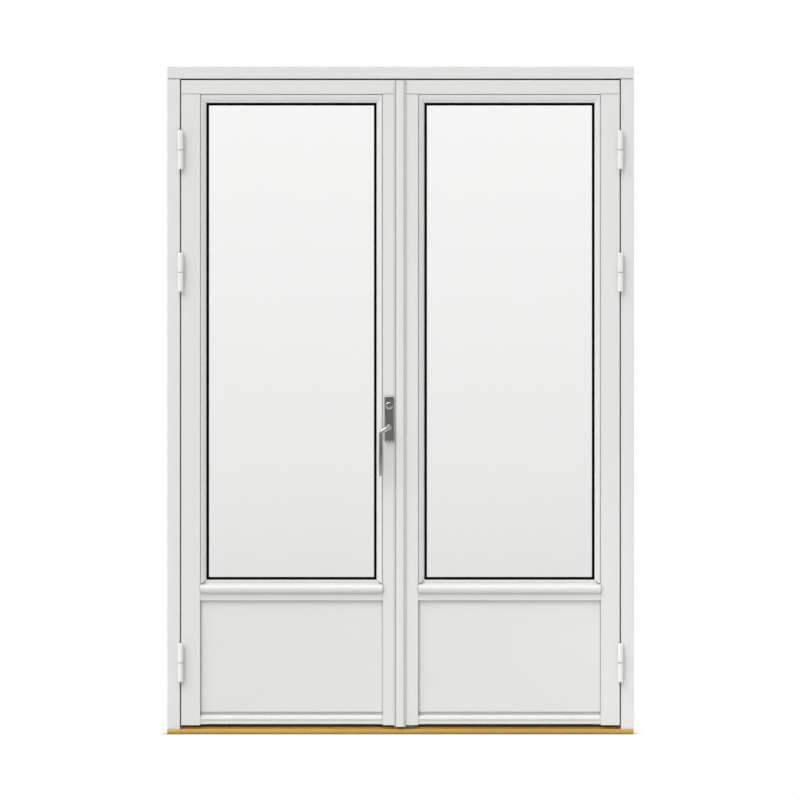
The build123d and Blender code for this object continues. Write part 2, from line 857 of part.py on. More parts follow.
def make_spindle():
    """The square spindle that joins both levers and turns the pinion."""
    start = leaf_front - handle_plate_thickness + hub_seat - spindle_reach
    end = leaf_back + handle_plate_thickness - hub_seat + spindle_reach
    with BuildPart() as spindle:
        with BuildSketch(upright_plane(start)):
            with Locations((spindle_x, spindle_height)):
                Rectangle(spindle_square, spindle_square)
        extrude(amount=start - end)
    save(spindle, "handle_spindle")


# Espagnolette


def gear_plane(depth):
    """An upright plane at that depth with its origin on the spindle's axis."""
    return Plane(origin=(spindle_x, depth, spindle_height), x_dir=(1, 0, 0), z_dir=(0, -1, 0))


def involute(angle):
    """The involute function of a pressure angle in radians."""
    return tan(angle) - angle


def pinion_outline():
    """The pinion's outline: involute flanks from the base circle to the tips, with radial roots."""
    alpha = radians(pressure_angle)
    base_radius = pitch_radius * cos(alpha)
    root_radius = pitch_radius - rack_addendum - root_clearance
    tip_radius = pitch_radius + pinion_addendum
    half_tooth = pi / 2 / pinion_teeth - backlash / 2 / pitch_radius + involute(alpha)
    radii = [base_radius + (tip_radius - base_radius) * step / flank_steps for step in range(flank_steps + 1)]
    flank = [(root_radius, half_tooth)]
    flank += [(radius, half_tooth - involute(acos(base_radius / radius))) for radius in radii]
    points = []
    for tooth in range(pinion_teeth):
        middle = 2 * pi * tooth / pinion_teeth
        rising = [(radius, middle - angle) for radius, angle in flank]
        falling = [(radius, middle + angle) for radius, angle in reversed(flank)]
        points += [(radius * cos(angle), radius * sin(angle)) for radius, angle in rising + falling]
    return points


def make_pinion():
    """The pinion on the spindle, with a hub that turns in the case and its cover."""
    with BuildPart() as pinion:
        with BuildSketch(gear_plane(lock_middle_y - pinion_thickness / 2)):
            Polygon(pinion_outline())
        extrude(amount=-pinion_thickness)
        with BuildSketch(gear_plane(lock_front)):
            Circle(pinion_hub_radius)
        extrude(amount=-lock_case_thickness)
        with BuildSketch(gear_plane(lock_front)):
            Rectangle(spindle_square + 2 * running_clearance, spindle_square + 2 * running_clearance)
        extrude(amount=-lock_case_thickness, mode=Mode.SUBTRACT)
    save(pinion, "lock_pinion")


def rack_edge():
    """A rack's back corner and its toothed edge, from its trailing end: (distance from the spindle, height)."""
    slope = tan(radians(pressure_angle))
    tip = pitch_radius - rack_addendum
    tip_half = rack_pitch / 4 - rack_addendum * slope
    root_half = rack_pitch / 4 + (rack_root - pitch_radius) * slope
    trailing_end = (rack_lead_teeth - rack_teeth) * rack_pitch
    points = [(rack_back, trailing_end), (rack_root, trailing_end)]
    for tooth in range(rack_teeth):
        middle = trailing_end + (tooth + 1 / 2) * rack_pitch
        points += [
            (rack_root, middle - root_half),
            (tip, middle - tip_half),
            (tip, middle + tip_half),
            (rack_root, middle + root_half),
        ]
    return points


def bolt_outline(up):
    """A bolt's outline about the spindle: rack, arm and rod, shooting up or down."""
    rod_end = (leaf_top - bolt_setback if up > 0 else leaf_bottom_height + bolt_setback) - spindle_height
    inner = rod_inner - spindle_x
    outer = rod_outer - spindle_x
    arm_near = up * slider_arm_start
    arm_far = up * (slider_arm_start + slider_arm_width)
    rack = [(-up * distance, up * height) for distance, height in rack_edge()]
    rod = [
        (inner, rod_end - up * bolt_point),
        (inner + bolt_point, rod_end),
        (outer - bolt_point, rod_end),
        (outer, rod_end - up * bolt_point),
    ]
    if up > 0:
        over_pinion = [(-rack_root, arm_near), (outer, arm_near)]
        return rack + over_pinion + rod[::-1] + [(inner, arm_far), (-rack_back, arm_far)]
    return rack + [(rack_root, arm_far), (inner, arm_far)] + rod + [(outer, arm_near), (rack_back, arm_near)]


def make_bolt(name, up):
    """A sliding bolt: its rack beside the pinion, an arm to the meeting edge and the rod that shoots."""
    with BuildPart() as bolt:
        with BuildSketch(gear_plane(lock_middle_y - slider_thickness / 2)):
            Polygon(bolt_outline(up))
        extrude(amount=-slider_thickness)
    save(bolt, name)


def make_lock_case():
    """The open steel case of the espagnolette, with slots for the rods and a bore for the pinion's hub."""
    height = lock_case_half_height - lock_case_wall
    low = spindle_height - lock_case_half_height
    high = spindle_height + lock_case_half_height
    cover_front = lock_back - lock_case_wall
    with BuildPart() as case:
        with BuildSketch(upright_plane(lock_front)):
            Polygon(box_points((case_outer_x, low), (faceplate_back, high)))
        extrude(amount=lock_front - cover_front)
        cut_box(
            (case_inner_x, lock_front + lock_case_wall, spindle_height - height),
            (faceplate_back + overrun, cover_front, spindle_height + height),
        )
        cut_box(
            (rod_inner - rod_clearance, lock_front + lock_case_wall, low),
            (faceplate_back + overrun, cover_front, high),
        )
        with Locations(Location((spindle_x, lock_front, spindle_height), (90, 0, 0))):
            Hole(pinion_hub_radius + running_clearance)
    save(case, "lock_case")
    with BuildPart() as cover:
        with BuildSketch(upright_plane(cover_front)):
            Polygon(box_points((case_outer_x, low), (faceplate_back, high)))
        extrude(amount=-lock_case_wall)
        with Locations(Location((spindle_x, lock_front, spindle_height), (90, 0, 0))):
            Hole(pinion_hub_radius + running_clearance)
    save(cover, "lock_cover")


def make_faceplate():
    """The long faceplate that closes the groove in the left leaf's meeting edge."""
    with BuildPart() as faceplate:
        with BuildSketch(Plane.XY.offset(leaf_bottom_height)):
            Polygon(box_points((faceplate_back, lock_front), (-meeting_edge[left], lock_back)))
        extrude(amount=leaf_top - leaf_bottom_height)
    save(faceplate, "lock_faceplate")


# Edge bolts of the right leaf


def edge_bolt_ends():
    """The end of each edge bolt's channel and the way that the bolt shoots from it."""
    return (("upper", leaf_top, 1), ("lower", leaf_bottom_height, -1))


def make_edge_bolts():
    """Two sliding edge bolts, each worked by a thumb piece in the slot of its plate."""
    plate_x = relieved_edge
    slide_x = plate_x + edge_bolt_plate_thickness
    with BuildPart() as plates:
        for name, end, up in edge_bolt_ends():
            low = min(end, end - up * edge_bolt_channel)
            slot_far = end - up * (edge_bolt_length - thumb_slot_from_foot)
            slot_low = min(slot_far, slot_far + up * thumb_slot_length)
            with BuildSketch(Plane.YZ.offset(plate_x)):
                Polygon(box_points((lock_front, low), (lock_back, low + edge_bolt_channel)))
                with Locations((lock_middle_y, slot_low + thumb_slot_length / 2)):
                    SlotOverall(thumb_slot_length, thumb_slot_width, rotation=90, mode=Mode.SUBTRACT)
            extrude(amount=edge_bolt_plate_thickness)
    save(plates, "edge_bolt_plates")
    for name, end, up in edge_bolt_ends():
        tip = end - up * bolt_setback
        foot = tip - up * edge_bolt_length
        thumb_far = end - up * (edge_bolt_length - thumb_slot_from_foot) + up * thumb_slot_width / 2
        thumb_low = min(thumb_far, thumb_far + up * thumb_length)
        with BuildPart() as bolt:
            with BuildSketch(upright_plane(lock_middle_y - slider_thickness / 2)):
                Polygon(
                    [
                        (edge_bolt_inner, foot),
                        (edge_bolt_outer, foot),
                        (edge_bolt_outer, tip - up * bolt_point),
                        (edge_bolt_outer - bolt_point, tip),
                        (edge_bolt_inner + bolt_point, tip),
                        (edge_bolt_inner, tip - up * bolt_point),
                    ]
                )
            extrude(amount=-slider_thickness)
            with BuildSketch(Plane.YZ.offset(plate_x + thumb_setback)):
                with Locations((lock_middle_y, thumb_low + thumb_length / 2)):
                    SlotOverall(thumb_length, thumb_width, rotation=90)
            extrude(amount=slide_x + rod_clearance - plate_x - thumb_setback)
        save(bolt, f"{name}_edge_bolt")


make_head()
make_threshold()
make_frame_seal()
make_bolt_keeps()
make_hinge_pins()
for side in (left, right):
    make_jamb(side)
    make_hinges(side)
    make_stile(side, "hinge_stile", hinge_edge, hinge_sight, -1)
    make_stile(side, "lock_stile", meeting_edge[side], lock_sight, 1)
    make_top_rail(side)
    make_mid_rail(side)
    make_bottom_rail(side)
    make_panel(side)
    make_pane(side, "outer_pane", glass_front)
    make_pane(side, "inner_pane", inner_pane_front)
    make_spacer(side)
    make_gasket(side)
    make_side_bead(side, "hinge_bead", hinge_sight, -1)
    make_side_bead(side, "lock_bead", lock_sight, 1)
    make_level_bead(side, "top_bead", top_rail_low, top_bead_height, -1, draw_bead)
    make_level_bead(side, "bottom_bead", mid_rail_floor, bottom_bead_height, 1, draw_cove)
    make_weather_bar(side)
make_astragal()
for name, face, outwards in (("outer", leaf_front, -1), ("inner", leaf_back, 1)):
    make_handle_plate(f"{name}_handle_plate", face, outwards)
    make_lever(f"{name}_lever", face, outwards)
make_spindle()
make_pinion()
make_bolt("upper_bolt", 1)
make_bolt("lower_bolt", -1)
make_lock_case()
make_faceplate()
make_edge_bolts()
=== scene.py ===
import json
import math

import bmesh
import bpy
from bpy.props import FloatProperty, FloatVectorProperty, IntProperty, PointerProperty
from mathutils import Matrix, Vector


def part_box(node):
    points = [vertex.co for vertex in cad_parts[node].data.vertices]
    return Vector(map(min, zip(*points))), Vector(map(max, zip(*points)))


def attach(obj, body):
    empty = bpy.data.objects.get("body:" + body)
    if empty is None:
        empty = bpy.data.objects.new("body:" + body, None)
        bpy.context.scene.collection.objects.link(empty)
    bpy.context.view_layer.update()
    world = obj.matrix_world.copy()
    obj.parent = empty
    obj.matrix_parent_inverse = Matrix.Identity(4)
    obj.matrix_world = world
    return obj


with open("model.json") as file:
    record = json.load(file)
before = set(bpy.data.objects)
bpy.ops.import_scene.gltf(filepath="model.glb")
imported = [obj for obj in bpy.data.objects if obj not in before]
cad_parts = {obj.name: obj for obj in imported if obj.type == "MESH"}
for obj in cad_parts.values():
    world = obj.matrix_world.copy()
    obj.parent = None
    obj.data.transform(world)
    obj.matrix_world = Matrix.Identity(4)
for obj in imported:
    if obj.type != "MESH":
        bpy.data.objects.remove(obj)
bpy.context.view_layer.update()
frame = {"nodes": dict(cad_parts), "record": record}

bl_info = {
    "name": "French doors",
    "version": (1, 0, 0),
    "blender": (4, 5, 0),
    "location": "3D View > Sidebar > French doors",
    "description": "Finishes, screws and studio for a pair of glazed doors in their frame",
    "category": "Object",
}

sides = ("left", "right")
hinge_places = ("low", "middle", "top")
node_finish = {row["node"]: row["material_slot"] for row in frame["record"]["subparts"]}


class FrenchDoorsFinish(bpy.types.PropertyGroup):
    """Colours and textures of the doors."""

    paint_colour: FloatVectorProperty(
        name="Paint", description="White paint of the frame and leaves", subtype="COLOR", size=3,
        default=(0.752, 0.752, 0.739), min=0, max=1,
    )
    # The hinges are white powder coat, made lighter than the paint as a painted highlight on the knuckles.
    hinge_colour_with_highlight: FloatVectorProperty(
        name="Hinges", description="White powder coat of the hinges", subtype="COLOR", size=3,
        default=(0.82, 0.82, 0.807), min=0, max=1,
    )
    paint_unevenness: FloatProperty(
        name="Unevenness", description="How far the paint darkens in patches", subtype="FACTOR",
        default=0.025, min=0, max=1,
    )
    # Painted shade: paint, metal and oak darken in crevices, gaps and recesses where other surfaces close
    # in.
    crevice_shade_reach: FloatProperty(
        name="Crevice shade reach", description="How far the dirt in a crevice of paint or metal spreads",
        unit="LENGTH", default=0.006, min=0.001,
    )
    oak_crevice_shade_reach: FloatProperty(
        name="Oak crevice shade reach", description="How far the dirt in a crevice of the oak spreads",
        unit="LENGTH", default=0.012, min=0.001,
    )
    crevice_shade_depth: FloatProperty(
        name="Crevice shade depth", description="How far paint, metal and oak darken in a crevice",
        subtype="FACTOR", default=0.5, min=0, max=1,
    )
    oak_light_colour: FloatVectorProperty(
        name="Oak, light", description="Pale wood between the grain lines", subtype="COLOR", size=3,
        default=(0.66, 0.405, 0.076), min=0, max=1,
    )
    oak_dark_colour: FloatVectorProperty(
        name="Oak, dark", description="Grain lines of the oak", subtype="COLOR", size=3,
        default=(0.49, 0.282, 0.048), min=0, max=1,
    )
    handle_colour: FloatVectorProperty(
        name="Handle", description="Satin metal of the levers and plates", subtype="COLOR", size=3,
        default=(0.48, 0.48, 0.46), min=0, max=1,
    )
    steel_colour: FloatVectorProperty(
        name="Steel", description="Zinc-plated steel of the bolts, pins and screws", subtype="COLOR", size=3,
        default=(0.56, 0.56, 0.55), min=0, max=1,
    )
    brass_colour: FloatVectorProperty(
        name="Brass", description="Brass of the handle plates' screws", subtype="COLOR", size=3,
        default=(0.50, 0.27, 0.05), min=0, max=1,
    )
    rubber_colour: FloatVectorProperty(
        name="Rubber", description="Black of the gaskets, the seal and the spacer bars", subtype="COLOR",
        size=3, default=(0.0015, 0.0015, 0.0015), min=0, max=1,
    )
    # Colour of the painted shadow lines: thin dark strips along the joints of the frame and leaves.
    joint_shadow_colour: FloatVectorProperty(
        name="Joint shadow", description="Dark sealant in the joints of the frame and leaves", subtype="COLOR",
        size=3, default=(0.02, 0.02, 0.02), min=0, max=1,
    )
    # The panes run from the top colour to the bottom colour as a painted reflection: lighter at the top,
    # darker towards the foot.
    glass_top_colour_with_painted_light: FloatVectorProperty(
        name="Glass, top", description="Tint of each pane at its top", subtype="COLOR", size=3,
        default=(0.974, 0.974, 0.970), min=0, max=1,
    )
    glass_bottom_colour_with_painted_shade: FloatVectorProperty(
        name="Glass, bottom", description="Tint of each pane at its bottom", subtype="COLOR", size=3,
        default=(0.881, 0.881, 0.876), min=0, max=1,
    )


class FrenchDoorsScrews(bpy.types.PropertyGroup):
    """Sizes of the screws and of the key rosette on the handle plate."""

    head_radius: FloatProperty(
        name="Head radius", description="Radius of a screw's head", unit="LENGTH",
        default=0.003, min=0.001,
    )
    head_height: FloatProperty(
        name="Head height", description="How far a head stands out", unit="LENGTH",
        default=0.0006, min=0.0001,
    )
    recess_width: FloatProperty(
        name="Recess width", description="Width of the cross in a head", unit="LENGTH",
        default=0.0009, min=0.0001,
    )
    head_corners: IntProperty(
        name="Corners", description="Corners round a screw's head", default=24, min=8, max=64,
    )
    rosette_radius: FloatProperty(
        name="Rosette radius", description="Radius of the key rosette", unit="LENGTH",
        default=0.0115, min=0.004,
    )
    rosette_height: FloatProperty(
        name="Rosette height", description="How far the rosette stands out", unit="LENGTH",
        default=0.0032, min=0.001,
    )


class FrenchDoorsStage(bpy.types.PropertyGroup):
    """Camera and lights."""

    key_strength: FloatProperty(
        name="Key light", description="Strength of the soft light from the upper left", default=1.86, min=0,
    )
    key_softness: FloatProperty(
        name="Key softness", description="Angle that the key light and the back light fill", subtype="ANGLE",
        default=math.radians(50), min=0,
    )
    top_strength: FloatProperty(
        name="Top light", description="Strength of the light from above the doors", default=0.6, min=0,
    )
    top_softness: FloatProperty(
        name="Top softness", description="Angle that the top light fills", subtype="ANGLE",
        default=math.radians(30), min=0,
    )
    back_strength: FloatProperty(
        name="Back light", description="Strength of the soft light on the inside", default=2.0, min=0,
    )
    fill_strength: FloatProperty(
        name="Fill", description="Even light from all round", default=0.52, min=0,
    )
    view_width: FloatProperty(
        name="View width", description="Width of the picture at the leaves' front", unit="LENGTH",
        default=2.3832, min=0.1,
    )
    lens: FloatProperty(
        name="Lens", description="Focal length of the camera", unit="CAMERA", default=400, min=20,
    )


# Shared helpers


def solid(colour):
    """A colour with full alpha."""
    return (*colour, 1)


def joined(tree, start, end):
    """Join an output to an input of a node tree."""
    tree.links.new(start, end)


def new_group(name, kind, inputs, outputs):
    """A node group with named sockets, and its input and output nodes."""
    group = bpy.data.node_groups.new(name, kind)
    for socket, socket_type, default in inputs:
        made = group.interface.new_socket(socket, in_out="INPUT", socket_type=socket_type)
        if default is not None:
            made.default_value = default
    for socket, socket_type in outputs:
        group.interface.new_socket(socket, in_out="OUTPUT", socket_type=socket_type)
    return group, group.nodes.new("NodeGroupInput"), group.nodes.new("NodeGroupOutput")


def math_node(tree, operation, first, second):
    """A math node whose inputs are sockets or numbers."""
    node = tree.nodes.new("ShaderNodeMath")
    node.operation = operation
    for place, value in enumerate((first, second)):
        if isinstance(value, bpy.types.NodeSocket):
            joined(tree, value, node.inputs[place])
        else:
            node.inputs[place].default_value = value
    return node.outputs[0]


def ranged(tree, value, start, end, low, high):
    """A value eased from one range into another."""
    node = tree.nodes.new("ShaderNodeMapRange")
    node.interpolation_type = "SMOOTHSTEP"
    joined(tree, value, node.inputs["Value"])
    node.inputs["From Min"].default_value = start
    node.inputs["From Max"].default_value = end
    node.inputs["To Min"].default_value = low
    node.inputs["To Max"].default_value = high
    return node.outputs["Result"]


def colour_mix(tree, share, first, second):
    """A mix of two colours, each a socket or a colour."""
    node = tree.nodes.new("ShaderNodeMix")
    node.data_type = "RGBA"
    joined(tree, share, node.inputs["Factor"])
    colours = [socket for socket in node.inputs if socket.type == "RGBA"]
    for socket, value in zip(colours, (first, second)):
        if isinstance(value, bpy.types.NodeSocket):
            joined(tree, value, socket)
        else:
            socket.default_value = solid(value)
    return next(socket for socket in node.outputs if socket.type == "RGBA")


def shader_mix(tree, share, first, second):
    """A mix of two shader nodes."""
    node = tree.nodes.new("ShaderNodeMixShader")
    joined(tree, share, node.inputs["Fac"])
    joined(tree, first.outputs[0], node.inputs[1])
    joined(tree, second.outputs[0], node.inputs[2])
    return node.outputs[0]


def coordinates(tree, kind):
    """The three coordinates of a place on a piece, or of a direction in the world."""
    place = tree.nodes.new("ShaderNodeTexCoord")
    parts = tree.nodes.new("ShaderNodeSeparateXYZ")
    joined(tree, place.outputs[kind], parts.inputs[0])
    return parts.outputs


def stretched_noise(tree, stretch, detail):
    """Noise on object coordinates, stretched by a socket's scale along each axis."""
    place = tree.nodes.new("ShaderNodeTexCoord")
    scaled = tree.nodes.new("ShaderNodeVectorMath")
    scaled.operation = "MULTIPLY"
    joined(tree, place.outputs["Object"], scaled.inputs[0])
    joined(tree, stretch, scaled.inputs[1])
    noise = tree.nodes.new("ShaderNodeTexNoise")
    noise.inputs["Scale"].default_value = 1
    noise.inputs["Detail"].default_value = detail
    joined(tree, scaled.outputs[0], noise.inputs["Vector"])
    return noise.outputs["Fac"]


def darkened(tree, colour, amount):
    """A colour times a value."""
    node = tree.nodes.new("ShaderNodeVectorMath")
    node.operation = "SCALE"
    joined(tree, colour, node.inputs[0])
    joined(tree, amount, node.inputs["Scale"])
    return node.outputs[0]


def unshaded_share(tree, given):
    """How much of a colour is left under painted shade in crevices, gaps and recesses of the given reach and
    depth.
    """
    crevice_samples = 8
    # Ambient occlusion darkens the colour as painted shade where other surfaces close in.
    crevice = tree.nodes.new("ShaderNodeAmbientOcclusion")
    crevice.samples = crevice_samples
    joined(tree, given.outputs["Crevice shade reach"], crevice.inputs["Distance"])
    hidden = math_node(tree, "SUBTRACT", 1, crevice.outputs["AO"])
    painted_shade = math_node(tree, "MULTIPLY", hidden, given.outputs["Crevice shade depth"])
    return math_node(tree, "SUBTRACT", 1, painted_shade)


# Shader groups

crevice_shade_inputs = (
    ("Crevice shade reach", "NodeSocketFloat", 0.01),
    ("Crevice shade depth", "NodeSocketFloat", 0),
)
surface_inputs = (
    ("Colour", "NodeSocketColor", (1, 1, 1, 1)),
    ("Unevenness", "NodeSocketFloat", 0),
    *crevice_shade_inputs,
    ("Gloss low", "NodeSocketFloat", 0.4),
    ("Gloss high", "NodeSocketFloat", 0.5),
)
surface_outputs = (
    ("Colour", "NodeSocketColor"),
    ("Roughness", "NodeSocketFloat"),
    ("Height", "NodeSocketFloat"),
)


def vary_surface(group, given, made, pattern):
    """Let a pattern darken a surface's colour and change its gloss, with painted shade in the crevices."""
    loss = math_node(group, "MULTIPLY", pattern, given.outputs["Unevenness"])
    kept = math_node(group, "SUBTRACT", unshaded_share(group, given), loss)
    joined(group, darkened(group, given.outputs["Colour"], kept), made.inputs["Colour"])
    gloss_range = math_node(group, "SUBTRACT", given.outputs["Gloss high"], given.outputs["Gloss low"])
    gloss_part = math_node(group, "MULTIPLY", pattern, gloss_range)
    roughness = math_node(group, "ADD", given.outputs["Gloss low"], gloss_part)
    joined(group, roughness, made.inputs["Roughness"])


def build_coat_group():
    """Paint, powder coat or rubber: patchy colour, painted shade in crevices, uneven gloss and fine texture.
    """
    patch_detail = 4
    texture_detail = 2
    inputs = (
        *surface_inputs,
        ("Patches", "NodeSocketVector", (3, 3, 3)),
        ("Texture", "NodeSocketVector", (300, 300, 300)),
    )
    group, given, made = new_group("Coated surface", "ShaderNodeTree", inputs, surface_outputs)
    patches = stretched_noise(group, given.outputs["Patches"], patch_detail)
    texture = stretched_noise(group, given.outputs["Texture"], texture_detail)
    vary_surface(group, given, made, patches)
    joined(group, texture, made.inputs["Height"])
    return group


def build_metal_group():
    """Drawn metal: fine lines along one axis, with slightly uneven colour and gloss, and painted shade in
    crevices.
    """
    line_detail = 3
    inputs = (
        *surface_inputs,
        ("Lines", "NodeSocketVector", (1500, 1500, 60)),
    )
    group, given, made = new_group("Drawn metal", "ShaderNodeTree", inputs, surface_outputs)
    lines = stretched_noise(group, given.outputs["Lines"], line_detail)
    vary_surface(group, given, made, lines)
    joined(group, lines, made.inputs["Height"])
    return group


def build_grain_group():
    """Oak: bands of grain along the board, with fine pores and painted shade in the crevices."""
    band_detail = 6
    pore_detail = 3
    band_range = (0.35, 0.65)
    pore_range = (0.5, 0.7)
    most_band_share = 0.75
    most_pore_share = 0.35
    gloss_band_range = (0.3, 0.7)
    gloss_range = (0.42, 0.55)
    inputs = (
        ("Light", "NodeSocketColor", (1, 1, 1, 1)),
        ("Dark", "NodeSocketColor", (0.5, 0.5, 0.5, 1)),
        *crevice_shade_inputs,
        ("Bands", "NodeSocketVector", (1.2, 60, 60)),
        ("Pores", "NodeSocketVector", (20, 900, 900)),
    )
    group, given, made = new_group("Timber grain", "ShaderNodeTree", inputs, surface_outputs)
    bands = stretched_noise(group, given.outputs["Bands"], band_detail)
    pores = stretched_noise(group, given.outputs["Pores"], pore_detail)
    band_share = ranged(group, bands, *band_range, 0, most_band_share)
    pore_share = ranged(group, pores, *pore_range, 0, most_pore_share)
    dark_share = math_node(group, "ADD", band_share, pore_share)
    colour = colour_mix(group, dark_share, given.outputs["Light"], given.outputs["Dark"])
    joined(group, darkened(group, colour, unshaded_share(group, given)), made.inputs["Colour"])
    joined(group, ranged(group, bands, *gloss_band_range, *gloss_range), made.inputs["Roughness"])
    joined(group, pores, made.inputs["Height"])
    return group


def build_painted_reflection_group():
    """Glass: a painted reflection on the pane's colour, lighter at its top and darker towards its foot."""
    inputs = (
        ("Top", "NodeSocketColor", (1, 1, 1, 1)),
        ("Bottom", "NodeSocketColor", (0.9, 0.9, 0.9, 1)),
        ("Low", "NodeSocketFloat", 0),
        ("High", "NodeSocketFloat", 1),
        ("Ease", "NodeSocketFloat", 0.65),
    )
    outputs = (("Colour", "NodeSocketColor"),)
    group, given, made = new_group("Pane tint", "ShaderNodeTree", inputs, outputs)
    place = coordinates(group, "Object")
    rise = math_node(group, "SUBTRACT", place["Z"], given.outputs["Low"])
    height = math_node(group, "SUBTRACT", given.outputs["High"], given.outputs["Low"])
    height_share = math_node(group, "DIVIDE", rise, height)
    top_share = math_node(group, "POWER", height_share, given.outputs["Ease"])
    painted_reflection = colour_mix(group, top_share, given.outputs["Bottom"], given.outputs["Top"])
    joined(group, painted_reflection, made.inputs["Colour"])
    return group


# Materials

moulded_relief = (0.1, 0.0003)


def shared_group(name, build):
    """A shader group that is built the first time it is asked for."""
    return bpy.data.node_groups.get(name) or build()


def new_material(name, group, values, shader_values, relief):
    """A material whose shader has its own constants and takes what changes from a group.

    relief is the strength and the distance of its bumps, or None.
    """
    material = bpy.data.materials.new(name)
    material.use_nodes = True
    tree = material.node_tree
    shader = tree.nodes["Principled BSDF"]
    for socket, value in shader_values.items():
        shader.inputs[socket].default_value = value
    effect = tree.nodes.new("ShaderNodeGroup")
    effect.node_tree = group
    for socket, value in values.items():
        effect.inputs[socket].default_value = value
    joined(tree, effect.outputs["Colour"], shader.inputs["Base Color"])
    if "Roughness" in effect.outputs:
        joined(tree, effect.outputs["Roughness"], shader.inputs["Roughness"])
    if relief is not None:
        strength, distance = relief
        bump = tree.nodes.new("ShaderNodeBump")
        bump.inputs["Strength"].default_value = strength
        bump.inputs["Distance"].default_value = distance
        joined(tree, effect.outputs["Height"], bump.inputs["Height"])
        joined(tree, bump.outputs["Normal"], shader.inputs["Normal"])
    return material


def surface_values(finish, colour, unevenness, gloss, crevice_shade_depth):
    """What a coat or a metal gives its group. gloss is its lowest and its highest roughness."""
    gloss_low, gloss_high = gloss
    return {
        "Colour": solid(colour),
        "Unevenness": unevenness,
        "Crevice shade reach": finish.crevice_shade_reach,
        "Crevice shade depth": crevice_shade_depth,
        "Gloss low": gloss_low,
        "Gloss high": gloss_high,
    }


def coat_material(name, values, shader_values, relief):
    """A painted, coated or moulded finish."""
    group = shared_group("Coated surface", build_coat_group)
    return new_material(name, group, values, shader_values, relief)


def metal_material(name, finish, colour, unevenness, gloss):
    """A metal finish, with painted shade in its crevices."""
    drawn_relief = (0.05, 0.0002)
    group = shared_group("Drawn metal", build_metal_group)
    values = surface_values(finish, colour, unevenness, gloss, finish.crevice_shade_depth)
    return new_material(name, group, values, {"Metallic": 1}, drawn_relief)


def dress(finish, material):
    """Give a material to every solid that has that finish."""
    for node, piece in frame["nodes"].items():
        if node_finish[node] == finish:
            piece.data.materials.clear()
            piece.data.materials.append(material)


def shown(name, mesh, body):
    """Put a finished mesh in the scene, on the body that it moves with."""
    piece = bpy.data.objects.new(name, mesh)
    bpy.context.scene.collection.objects.link(piece)
    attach(piece, body)


# Joinery


class FRENCH_DOORS_OT_paint_joinery(bpy.types.Operator):
    """Paint the frame, the leaves and their hinges white"""

    bl_idname = "french_doors.paint_joinery"
    bl_label = "Paint joinery"

    def execute(self, context):
        finish = context.scene.french_doors_finish
        # How strongly painted shade darkens the paint and powder coat in crevices.
        depth = finish.crevice_shade_depth
        paint_gloss = (0.3, 0.4)
        powder_gloss = (0.24, 0.32)
        powder_unevenness = 0.01
        brushed_relief = (0.05, 0.0004)
        sprayed_relief = (0.03, 0.0002)
        glossy = {"Coat Weight": 0.7, "Coat Roughness": 0.16}
        paint = surface_values(finish, finish.paint_colour, finish.paint_unevenness, paint_gloss, depth)
        dress("paint", coat_material("White paint", paint, glossy, brushed_relief))
        # The powder coat is lighter than the paint: its white with a painted highlight on the knuckles.
        powder = surface_values(finish, finish.hinge_colour_with_highlight, powder_unevenness, powder_gloss, depth)
        dress("hinge_paint", coat_material("White powder coat", powder, glossy, sprayed_relief))
        return {"FINISHED"}


def bare_face_spans(side):
    """Stretches along x where the joints show: on the jamb, the hinge stile and the lock stile."""
    end_inset = 0.0025
    jamb_low, jamb_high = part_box(f"{side}_jamb")
    stile_low, stile_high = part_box(f"{side}_hinge_stile")
    hinge_bead_low, hinge_bead_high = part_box(f"{side}_hinge_bead")
    lock_bead_low, lock_bead_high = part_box(f"{side}_lock_bead")
    astragal_low, astragal_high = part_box("astragal")
    if side == "left":
        return (
            (jamb_low.x + end_inset, stile_low.x - 2 * end_inset),
            (stile_low.x + end_inset, hinge_bead_low.x),
            (lock_bead_high.x, astragal_low.x),
        )
    return (
        (stile_high.x + 2 * end_inset, jamb_high.x - end_inset),
        (hinge_bead_high.x, stile_high.x - end_inset),
        (astragal_high.x + end_inset, lock_bead_low.x),
    )


def joint_shadow_box(span, front, joint_height):
    """The low and the high corner of a painted shadow line along a joint."""
    below_joint = 0.0002
    above_joint = 0.0012
    shadow_line_depth = 0.0022
    start, end = span
    low = (start, front, joint_height - below_joint)
    high = (end, front + shadow_line_depth, joint_height + above_joint)
    return low, high


def box_mesh(name, boxes, material):
    """A mesh of upright boxes, each given by its low and high corners."""
    shape = bmesh.new()
    for low, high in boxes:
        middle = (Vector(low) + Vector(high)) / 2
        extent = Vector(high) - Vector(low)
        bmesh.ops.create_cube(shape, matrix=Matrix.Translation(middle) @ Matrix.Diagonal((*extent, 1)))
    mesh = bpy.data.meshes.new(name)
    shape.to_mesh(mesh)
    shape.free()
    mesh.materials.append(material)
    return mesh


